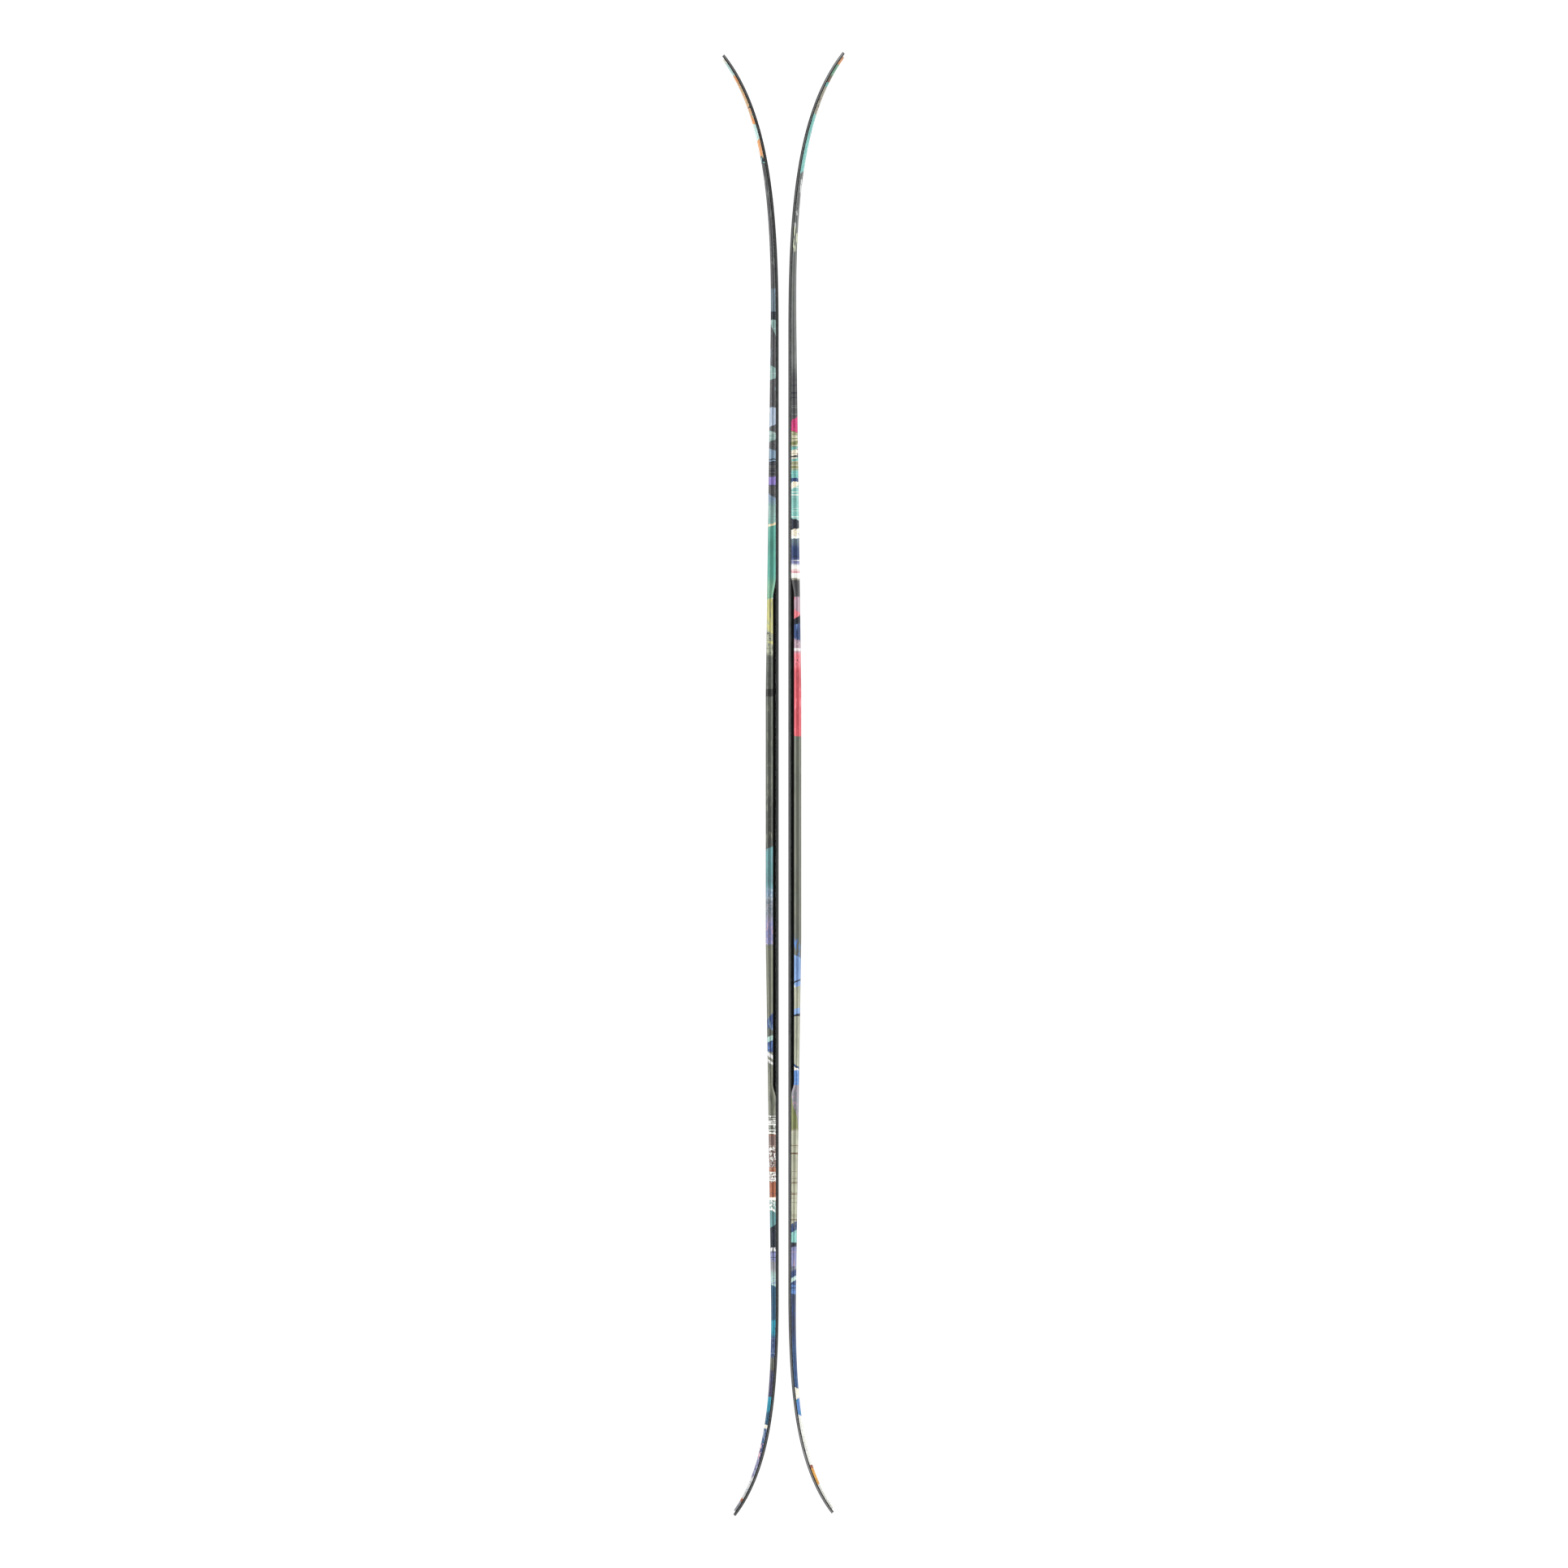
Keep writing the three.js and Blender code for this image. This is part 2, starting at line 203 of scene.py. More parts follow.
def cap_inside(s):
    """The cap's inner profile: rim, top of the wall, underside of the level top."""
    rim, _, wall, top = cap_outside(s)
    return [
        (rim[0] + RIM_WIDTH, rim[1]),
        (wall[0] + WALL_SKIN, wall[1] - INNER_EASE),
        (top[0] + INNER_EASE, top[1] - SKIN),
    ]


def inside_cap(s, height):
    """The inset at which a piece inside the cap clears its inner face at this height."""
    profile = cap_inside(s)
    above = [i for i in (1, 2) if profile[i][1] >= height]
    k = above[0] if above else 2
    a, b = profile[k - 1], profile[k]
    return mix(a[0], b[0], (height - a[1]) / (b[1] - a[1])) + SIDE_GAP


def fill_top(s):
    """Height of the sidewalls' tops, and of what else lies under the upper laminate."""
    return thickness_at(s) - SKIN - BOND - UPPER_LAMINATE - BOND


# --- Stations ----------------------------------------------------------------------------------

def evenly(start, end, steps):
    return [mix(start, end, i / steps) for i in range(steps + 1)]


def all_stations():
    tail = [TAIL_AT * (1 - math.sin(a)) for a in evenly(0, math.pi / 2, 30)]
    tip = [SHOVEL_AT + (LENGTH - SHOVEL_AT) * math.sin(a) for a in evenly(0, math.pi / 2, 34)]
    tapers = (
        evenly(SIDEWALL[0], SIDEWALL[0] + TAPER_BEHIND, 12)
        + evenly(SIDEWALL[1] - TAPER_AHEAD, SIDEWALL[1], 14)
    )
    middle = evenly(TAIL_AT, TAIL_ROCKER[0], 14) + evenly(TAIL_ROCKER[0], PLATFORM[0], 14)
    front = evenly(PLATFORM[0], PLATFORM[1], 6) + evenly(PLATFORM[1], LENGTH - TIP_ROCKER[0], 14)
    shovel = evenly(LENGTH - TIP_ROCKER[0], SHOVEL_AT, 20)
    return sorted({round(s, 3) for s in tail + middle + tapers + front + shovel + tip})


STATIONS = all_stations()


def between(start, end):
    return [start] + [s for s in STATIONS if start < s < end] + [end]


# --- Lofting -----------------------------------------------------------------------------------

EASE_STEPS = 3
EASE_LIMIT = 0.45     # of a side, at most
MARK_SPREAD = 0.4     # of the way from one corner's mark to the next, over a rounding


def eased(corners, radii, closed):
    """A profile with its corners rounded. Each point also says how far along the corners it is."""
    count = len(corners)
    points = []
    for i, (corner, radius) in enumerate(zip(corners, radii)):
        here = Vector(corner)
        level = here + Vector((10, 0))
        before = Vector(corners[i - 1]) if closed or i else level
        after = Vector(corners[(i + 1) % count]) if closed or i < count - 1 else level
        if not radius:
            points.append((here.x, here.y, i))
            continue
        back, on = before - here, after - here
        start = here + back.normalized() * min(radius, EASE_LIMIT * back.length)
        end = here + on.normalized() * min(radius, EASE_LIMIT * on.length)
        for k in range(EASE_STEPS + 1):
            t = k / EASE_STEPS
            p = start.lerp(here, t).lerp(here.lerp(end, t), t)
            points.append((p.x, p.y, i + (t - 0.5) * MARK_SPREAD))
    return points


def strip_rings(stations, profile_at, radii, side):
    """Rings of a closed profile that runs along one side of the ski; side is 1 or -1."""
    rings = []
    for s in stations:
        across, along, out = outline_at(s)
        points = eased(profile_at(s), radii, True)
        if side < 0:
            points.reverse()
        rings.append([
            (place(s - along * inset, side * max(SEAM, across - out * inset), height), mark)
            for inset, height, mark in points
        ])
    return rings


def layer_rings(stations, half_at, radii):
    """Rings of a profile that is the same on both sides, from its half, bottom to top."""
    rings = []
    for s in stations:
        across, along, out = outline_at(s)
        half = [
            (s - along * inset, max(0, across - out * inset), height, mark)
            for inset, height, mark in eased(half_at(s), radii, False)
        ]
        near = [(place(at, wide, height), mark) for at, wide, height, mark in half]
        far = [(place(at, -wide, height), mark) for at, wide, height, mark in reversed(half)]
        rings.append(near + far)
    return rings


MERGE = 1e-7     # metres
CREASE = math.radians(38)


class Ski:
    """Where one ski of the pair stands, read off the frame, and what rides on it."""

    def __init__(self, body, turned):
        low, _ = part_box(f"{body}_outside_edge")
        base_low, base_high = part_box(f"{body}_base")
        self.body = body
        self.turn = -1 if turned else 1
        self.face = base_low.x if turned else base_high.x
        self.tail = low.z

    def at(self, local):
        """The place in the frame, in metres, of a point of the ski."""
        return Vector((
            self.face + self.turn * local.x * MM,
            self.turn * local.y * MM,
            self.tail + local.z * MM,
        ))

    def add(self, part, rings, material, slot):
        """A closed piece through the rings, which stands for the CAD node of its name.

        Its points keep their marks as the attribute "profile". The attribute "flank" is 1 on the
        side towards +Y and 0 on the other.
        """
        name = f"{self.body}_{part}"
        size = len(rings[0])
        points = [self.at(p) for ring in rings for p, _ in ring]
        marks = [mark for ring in rings for _, mark in ring]
        faces = [
            (r * size + k, r * size + (k + 1) % size, (r + 1) * size + (k + 1) % size, (r + 1) * size + k)
            for r in range(len(rings) - 1)
            for k in range(size)
        ]
        last = (len(rings) - 1) * size
        for ring, corners in ((rings[0], range(size - 1, -1, -1)), (rings[-1], range(last, last + size))):
            if max((p - ring[-1 - k][0]).length for k, (p, _) in enumerate(ring)) > MERGE / MM:
                faces.append(tuple(corners))
        mesh = bpy.data.meshes.new(f"{name}_finish")
        mesh.from_pydata(points, [], faces)
        mesh.attributes.new("profile", "FLOAT", "POINT").data.foreach_set("value", marks)
        flanks = [float(p.y > 0) for p in points]
        mesh.attributes.new("flank", "FLOAT", "POINT").data.foreach_set("value", flanks)
        piece = bpy.data.objects.new(f"{name}_finish", mesh)
        bpy.context.collection.objects.link(piece)
        weld(mesh)
        mesh.materials.append(material)
        ease = piece.modifiers.new("even shading", "WEIGHTED_NORMAL")
        ease.keep_sharp = True
        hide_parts(name)
        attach(piece, self.body)
        return piece


def weld(mesh):
    """Merges the points where rings close on the centre line, and turns every face outwards."""
    work = bmesh.new()
    work.from_mesh(mesh)
    bmesh.ops.remove_doubles(work, verts=work.verts, dist=MERGE)
    bmesh.ops.recalc_face_normals(work, faces=work.faces)
    work.to_mesh(mesh)
    work.free()
    mesh.shade_smooth()
    mesh.set_sharp_from_angle(angle=CREASE)


# --- The pieces --------------------------------------------------------------------------------

def base_rings():
    inset = EDGE_WIDTH + SIDE_GAP
    return layer_rings(STATIONS, lambda s: [(inset, 0), (inset, BASE_THICKNESS)], (0.12, 0))


def edge_rings(side):
    profile = [
        (EDGE_WIDTH, 0),
        (0, 0),
        (0, EDGE_HEIGHT),
        (TANG_WIDTH, EDGE_HEIGHT),
        (TANG_WIDTH, TANG_BOTTOM),
        (EDGE_WIDTH, TANG_BOTTOM),
    ]
    return strip_rings(STATIONS, lambda s: profile, (0.12, 0.12, 0.25, 0, 0, 0), side)


def foil_rings(side):
    bottom = EDGE_HEIGHT + HAIRLINE
    top = RIM_BOTTOM - HAIRLINE
    profile = [(FOIL_WIDTH, bottom), (FOIL_RECESS, bottom), (FOIL_RECESS, top), (FOIL_WIDTH, top)]
    return strip_rings(STATIONS, lambda s: profile, (0, 0.1, 0.1, 0), side)


def lower_laminate_rings():
    middle = FOIL_WIDTH + SIDE_GAP
    top = CORE_BOTTOM - HAIRLINE
    profile = [(middle, TANG_BOTTOM), (middle, RIM_BOTTOM), (RIM_INSET, RIM_BOTTOM), (RIM_INSET, top)]
    return layer_rings(STATIONS, lambda s: profile, (0, 0, 0.08, 0.08))


def sidewall_rings(side):
    start = SIDEWALL[0] + TAPER_CUT * TAPER_BEHIND
    end = SIDEWALL[1] - TAPER_CUT * TAPER_AHEAD

    def profile(s):
        rim, wall, _ = cap_inside(s)
        ledge = lip_at(s) - HAIRLINE
        top = fill_top(s)
        return [
            (SIDEWALL_WIDTH, CORE_BOTTOM),
            (CAP_INSET - WALL_LEAN, CORE_BOTTOM),
            (CAP_INSET + WALL_LEAN, ledge),
            (rim[0] + SIDE_GAP, ledge),
            (wall[0] + SIDE_GAP, wall[1]),
            (inside_cap(s, top), top),
            (SIDEWALL_WIDTH, top),
        ]

    return strip_rings(between(start, end), profile, (0, 0.3, 0.25, 0, 0, 0, 0), side)


# Marks of the top sheet's outer corners, in its "profile" attribute. Its inner ones are 0 to 2.
RIM, LIP_TOP, WALL_TOP, BEVEL_TOP = 3, 4, 5, 6


def top_sheet_rings():
    def half(s):
        return cap_inside(s)[::-1] + cap_outside(s)
    return layer_rings(STATIONS, half, (0, 0, 0, 0.15, 0.6, 0.9, 1.4))


# --- Shader building ---------------------------------------------------------------------------

def linear(hex_colour):
    """Scene-linear RGBA of a colour given as six hexadecimal digits."""
    channels = [int(hex_colour[i:i + 2], 16) / 255 for i in (0, 2, 4)]
    return [c / 12.92 if c <= 0.04045 else ((c + 0.055) / 1.055) ** 2.4 for c in channels] + [1]


class Shader:
    """A Principled material under construction. Inputs may be numbers, colours or sockets."""

    def __init__(self, name, **fixed):
        self.material = bpy.data.materials.new(name)
        self.material.use_nodes = True
        self.tree = self.material.node_tree
        self.surface = self.tree.nodes["Principled BSDF"]
        self.set(**fixed)
        self.object = self.node("ShaderNodeTexCoord").outputs["Object"]

    def set(self, **values):
        for key, value in values.items():
            self.feed(self.surface.inputs[key.replace("_", " ")], value)

    def feed(self, socket, value):
        if isinstance(value, bpy.types.NodeSocket):
            self.tree.links.new(value, socket)
        else:
            socket.default_value = value

    def node(self, kind, inputs=None, **settings):
        made = self.tree.nodes.new(kind)
        for key, value in settings.items():
            setattr(made, key, value)
        for key, value in (inputs or {}).items():
            self.feed(made.inputs[key], value)
        return made

    def math(self, operation, a, b=0.0, c=0.0, clamp=False):
        made = self.node("ShaderNodeMath", {0: a, 1: b, 2: c}, operation=operation, use_clamp=clamp)
        return made.outputs[0]

    def fit(self, value, start, end, low=0.0, high=1.0, smooth=True):
        """value mapped from start..end to low..high, clamped."""
        made = self.node(
            "ShaderNodeMapRange", {0: value, 1: start, 2: end, 3: low, 4: high},
            interpolation_type="SMOOTHSTEP" if smooth else "LINEAR",
        )
        return made.outputs[0]

    def mix(self, share, a, b, blend="MIX"):
        made = self.node("ShaderNodeMix", {0: share, 6: a, 7: b}, data_type="RGBA", blend_type=blend)
        return made.outputs[2]

    def scaled(self, *size):
        """Object coordinates in units of the given size along X, Y and Z, in millimetres."""
        units = [1 / (length * MM) for length in size]
        made = self.node("ShaderNodeVectorMath", {0: self.object, 1: units}, operation="MULTIPLY")
        return made.outputs[0]

    def noise(self, grain, detail=2.0, rough=0.5):
        """Noise whose cells are grain = (x, y, z) millimetres."""
        inputs = {"Vector": self.scaled(*grain), "Scale": 1.0, "Detail": detail, "Roughness": rough}
        return self.node("ShaderNodeTexNoise", inputs).outputs[0]

    def bump(self, height, depth, strength=1.0):
        """Relief with the given depth in millimetres."""
        made = self.node("ShaderNodeBump", {"Height": height, "Strength": strength, "Distance": depth * MM})
        self.set(Normal=made.outputs[0])

    def attribute(self, name):
        return self.node("ShaderNodeAttribute", attribute_name=name).outputs["Fac"]


# --- Plain materials ---------------------------------------------------------------------------

def base_plastic():
    m = Shader("sintered_base", Roughness=0.4, Specular_IOR_Level=0.35)
    grit = m.noise((0.5, 0.5, 0.5), 3)
    grind = m.noise((0.6, 0.35, 60), 2)
    shade = m.mix(m.fit(grit, 0.4, 0.75), linear("1b1c1e"), linear("2d2e31"))
    m.set(Base_Color=m.mix(m.fit(grind, 0.5, 0.8, 0, 0.4), shade, linear("3d3f42")))
    m.set(Roughness=m.fit(grind, 0.3, 0.7, 0.32, 0.5))
    m.bump(m.math("ADD", grind, m.math("MULTIPLY", grit, 0.4)), 0.03, 0.6)
    return m.material


# Where an edge's side face turns from its painted shade below to paler above. It runs from mark 1 at the
# base to mark 2 at its top.
PAINTED_SHADE_TO = (1.4, 1.5)


def edge_steel(name, shade, lower_painted_shade):
    """Steel whose side face is painted darker over about its lower half, as painted shade."""
    m = Shader(name, Metallic=1.0, Roughness=0.35)
    ground = m.noise((0.12, 0.12, 60), 2)
    worn = m.noise((8, 8, 40), 2)
    # Painted shade: below these marks the side face takes the darker colour.
    upper = m.fit(m.attribute("profile"), *PAINTED_SHADE_TO)
    colour = m.mix(upper, linear(lower_painted_shade), linear(shade))
    colour = m.mix(m.fit(ground, 0.4, 0.7, 0, 0.25), colour, linear("8a8b8b"))
    m.set(Base_Color=m.mix(m.fit(worn, 0.5, 0.75, 0, 0.25), colour, linear("5d5c58")))
    m.set(Roughness=m.fit(ground, 0.3, 0.7, 0.3, 0.46))
    m.bump(ground, 0.01, 0.5)
    return m.material


def rubber():
    m = Shader("damping_rubber", Roughness=0.75, Specular_IOR_Level=0.25)
    grain = m.noise((0.4, 0.4, 0.8), 3)
    m.set(Base_Color=m.mix(grain, linear("101011"), linear("1f1f20")))
    m.bump(grain, 0.04, 0.6)
    return m.material


def glass_laminate():
    m = Shader("glass_laminate", Roughness=0.5, Specular_IOR_Level=0.2)
    strands = m.noise((0.25, 0.25, 22), 2)
    weave = m.noise((3, 3, 1.2), 2)
    colour = m.mix(m.fit(strands, 0.4, 0.62), linear("0d0e0e"), linear("1f2221"))
    m.set(Base_Color=m.mix(m.fit(weave, 0.5, 0.7, 0, 0.25), colour, linear("2f3330")))
    m.bump(strands, 0.03, 0.5)
    return m.material


def sidewall_plastic():
    m = Shader("sidewall_abs", Roughness=0.6, Specular_IOR_Level=0.05)
    milled = m.noise((0.25, 0.25, 18), 3)
    chatter = m.noise((30, 30, 2.2), 1)
    m.set(Base_Color=m.mix(m.fit(milled, 0.45, 0.75), linear("020202"), linear("0c0c0d")))
    m.set(Roughness=m.fit(milled, 0.3, 0.7, 0.5, 0.7))
    m.bump(m.math("ADD", milled, m.math("MULTIPLY", chatter, 0.3)), 0.02, 0.5)
    return m.material


def spacer_plastic():
    m = Shader("spacer_abs", Roughness=0.6)
    pebble = m.noise((0.9, 0.9, 0.9), 2)
    m.set(Base_Color=m.mix(pebble, linear("121314"), linear("1e1f21")))
    m.bump(pebble, 0.08, 0.5)
    return m.material


STRINGER_WIDTH = 12


def core_wood():
    """Stringers of two woods in turn, glued side by side."""
    m = Shader("core_wood", Roughness=0.62)
    across = m.node("ShaderNodeSeparateXYZ", {0: m.object}).outputs["Y"]
    stringer = m.math("FLOOR", m.math("DIVIDE", across, STRINGER_WIDTH * MM))
    odd = m.math("ABSOLUTE", m.math("MODULO", stringer, 2))
    grain = m.noise((1.4, 1.4, 120), 4, 0.6)
    poplar = m.mix(m.fit(grain, 0.35, 0.7), linear("d8bd8c"), linear("b8935c"))
    beech = m.mix(m.fit(grain, 0.35, 0.7), linear("c39a68"), linear("96683c"))
    m.set(Base_Color=m.mix(odd, poplar, beech))
    m.bump(grain, 0.15, 0.5)
    return m.material


def plate_alloy():
    m = Shader("plate_alloy", Metallic=1.0, Roughness=0.38)
    brushed = m.noise((0.15, 0.15, 40), 3)
    m.set(Base_Color=m.mix(m.fit(brushed, 0.3, 0.7), linear("a3a6a9"), linear("cdd0d2")))
    m.set(Roughness=m.fit(brushed, 0.3, 0.7, 0.3, 0.45))
    m.bump(brushed, 0.01, 0.5)
    return m.material


# --- Top sheet art -----------------------------------------------------------------------------

# The two top sheets wear an abstract patchwork, in bands from tail to tip.
COLOURS = {
    "aqua": "70aaa2", "blush": "d09aa0", "bone": "dedfd3", "brown": "7a4a3a", "charcoal": "404042",
    "clay": "8a8778", "coal": "3b3d39", "coral": "bf4d56", "cream": "e6dcc2", "crimson": "b32f62",
    "deep blue": "1d4057", "denim": "4a6ea8", "dove": "6c8a84", "fern": "6b7047", "fog": "b8b8b8",
    "gold": "cf8a3c", "graphite": "5b5e5d", "grass": "628e74", "heather": "656081",
    "ink": "22252f", "iris": "6f5fa0", "jet": "242523", "khaki": "9c9d87", "lagoon": "458376",
    "lichen": "868a75", "lilac": "6c7098", "marine": "2f4a70", "mauve": "9a7f8c",
    "midnight": "2c3449", "mint": "87a8a0", "moss": "494c45", "navy": "2a3a60",
    "night": "161b24", "ochre": "a7a464", "olive": "5f6154", "orange": "cd8252",
    "pale aqua": "a3c4bd", "pale lilac": "8795a8", "pale olive": "b3b89a", "petrol": "1e7288",
    "plum": "312f46", "rose": "d56b74", "rust": "8a4f38", "sage": "5a5d54", "sand": "c8b48c",
    "sky": "6d8dc0", "slate": "52616b", "slate lilac": "74757c", "slate teal": "4c7577",
    "steel blue": "657b8e", "stone": "8b8e7c", "tan": "b98c66", "taupe": "64524d",
    "turquoise": "5f9d97", "umber": "5b4634", "white": "f0f0ea",
}

# Each band: where it starts above the tail, how much higher it starts at the bevel than at the
# rim, over what length it fades in, the ground, the marks on it, and how much of the ground they
# cover as thin cross lines, as dashes along the ski and as specks. Millimetres and shares.
LEFT_ART = [
    (0, 0, 0, "slate lilac", "fog", 0.2, 0.2, 0), (17, 1, 0, "rust", "orange", 0.6, 0, 0),
    (21, 2, 0, "fog", "pale lilac", 0.3, 0, 0.3), (46, -2, 5, "heather", "pale lilac", 0, 0.4, 0.2),
    (68, 3, 0, "navy", "blush", 0, 0.4, 0.2), (88, 0, 0, "marine", "pale lilac", 0.2, 0.5, 0.2),
    (106, 2, 0, "cream", "cream", 0, 0, 0), (110, 2, 0, "deep blue", "petrol", 0.3, 0, 0.2),
    (126, -2, 4, "petrol", "deep blue", 0.3, 0.3, 0), (145, 0, 0, "plum", "navy", 0.2, 0.3, 0),
    (176, 3, 0, "moss", "umber", 0, 0.3, 0.3), (191, 0, 5, "navy", "steel blue", 0.2, 0.3, 0),
    (216, 0, 8, "petrol", "deep blue", 0.2, 0.3, 0), (240, -3, 0, "deep blue", "plum", 0.1, 0.4, 0),
    (279, 3, 0, "mint", "lilac", 0.2, 0, 0.3), (291, 0, 12, "slate lilac", "blush", 0.2, 0.3, 0),
    (308, 4, 0, "lilac", "night", 0.3, 0.4, 0.3), (322, 0, 0, "fog", "night", 0, 0.4, 0.5),
    (327, 0, 0, "night", "plum", 0, 0.3, 0), (355, -5, 0, "slate teal", "petrol", 0.2, 0.3, 0),
    (368.5, 4, 0, "dove", "white", 0.3, 0.2, 0.6), (384, 0, 0, "orange", "white", 0.6, 0, 0),
    (387, 0, 2, "rust", "brown", 0.4, 0.3, 0), (407, 0, 0, "taupe", "white", 0.5, 0, 0.7),
    (418, 0, 0, "rust", "clay", 0.5, 0, 0), (424, 0, 0, "taupe", "white", 0.2, 0.3, 0.6),
    (447, 0, 6, "taupe", "brown", 0.4, 0.3, 0), (465, 0, 0, "bone", "bone", 0, 0, 0),
    (466.5, 0, 0, "sage", "white", 0.5, 0, 0.4), (485, 0, 9, "olive", "moss", 0.1, 0.4, 0),
    (548, 5, 0, "fog", "sage", 0, 0.3, 0), (552, 5, 0, "olive", "moss", 0, 0, 0),
    (555, 5, 0, "fog", "sage", 0, 0.3, 0), (560, 5, 0, "olive", "moss", 0, 0.2, 0),
    (564, 1, 0, "navy", "denim", 0, 0.6, 0), (579, -3, 0, "mint", "white", 0, 0.3, 0),
    (585.5, -3, 0, "moss", "olive", 0, 0, 0), (590.5, 4, 0, "navy", "steel blue", 0, 0.6, 0),
    (613, -9, 0, "olive", "sage", 0.1, 0.5, 0), (695.5, 0, 0, "lilac", "mauve", 0, 0.2, 0.5),
    (719, 0, 14, "slate lilac", "slate", 0, 0.2, 0.6), (747, 0, 9, "steel blue", "fog", 0, 0, 0.5),
    (758, 0, 12, "slate teal", "slate", 0.1, 0.4, 0), (814.5, -4, 0, "coal", "olive", 0.1, 0.4, 0),
    (862, 0, 24, "moss", "olive", 0.1, 0.4, 0), (997, 0, 0, "jet", "coal", 0, 0, 0),
    (1006, 0, 0, "moss", "coal", 0.2, 0.5, 0), (1045, 0, 6, "lichen", "coal", 0.1, 0.3, 0.5),
    (1060, 4, 0, "ochre", "moss", 0, 0.3, 0.2), (1064, 0, 0, "lichen", "ink", 0, 0.3, 0.5),
    (1071.5, 9, 0, "ochre", "lichen", 0, 0.5, 0), (1114.5, 9, 0, "white", "white", 0, 0, 0),
    (1117, -2, 0, "grass", "lagoon", 0, 0.3, 0), (1130, 0, 16, "lagoon", "grass", 0.1, 0.2, 0),
    (1206, -2.5, 0, "sand", "cream", 0, 0.2, 0), (1208.5, -2.5, 0, "dove", "lagoon", 0.5, 0.4, 0),
    (1228, 0, 9, "steel blue", "iris", 0.3, 0, 0.2), (1237, 7, 0, "charcoal", "ink", 0.3, 0, 0),
    (1254, 0, 0, "iris", "lilac", 0.4, 0, 0), (1264, 0, 0, "charcoal", "ink", 0.5, 0, 0),
    (1281.5, 0, 0, "night", "night", 0, 0, 0), (1283, 0, 0, "steel blue", "sky", 0, 0, 0),
    (1284.5, 0, 0, "night", "night", 0, 0, 0), (1286, 0, 0, "steel blue", "slate", 0.2, 0.3, 0),
    (1295.5, 3.5, 0, "charcoal", "ink", 0, 0.2, 0), (1310, -3.5, 0, "dove", "fog", 0.4, 0, 0.3),
    (1317, 3.5, 0, "charcoal", "ink", 0, 0.2, 0), (1328.5, -3.5, 0, "pale lilac", "fog", 0.1, 0.3, 0),
    (1348.5, 0, 0, "charcoal", "slate", 0.1, 0.3, 0), (1385, -3.5, 0, "dove", "fog", 0.2, 0.2, 0),
    (1396, 4, 0, "charcoal", "steel blue", 0, 0.4, 0), (1434, 16, 0, "dove", "fog", 0.3, 0.3, 0),
    (1455, 0, 0, "night", "ink", 0, 0, 0), (1465, 0, 0, "slate", "steel blue", 0.2, 0.4, 0),
    (1491, 0, 4, "charcoal", "graphite", 0.1, 0.4, 0), (1645, 0, 0, "ink", "aqua", 0, 0.4, 0.4),
    (1651.5, 4, 0, "orange", "tan", 0, 0.6, 0.2), (1676, -4, 0, "pale aqua", "aqua", 0.2, 0.3, 0),
    (1693, 0, 0, "orange", "gold", 0, 0.4, 0), (1700, 3, 0, "tan", "aqua", 0.2, 0.3, 0.3),
    (1712, 0, 0, "ink", "rust", 0, 0, 0), (1715, -3, 0, "tan", "grass", 0, 0.4, 0.4),
    (1742.5, 3, 0, "orange", "gold", 0, 0.4, 0), (1750, 0, 4, "pale aqua", "aqua", 0.1, 0.3, 0.2),
    (1766, 2, 0, "cream", "sand", 0, 0.3, 0.2),
]

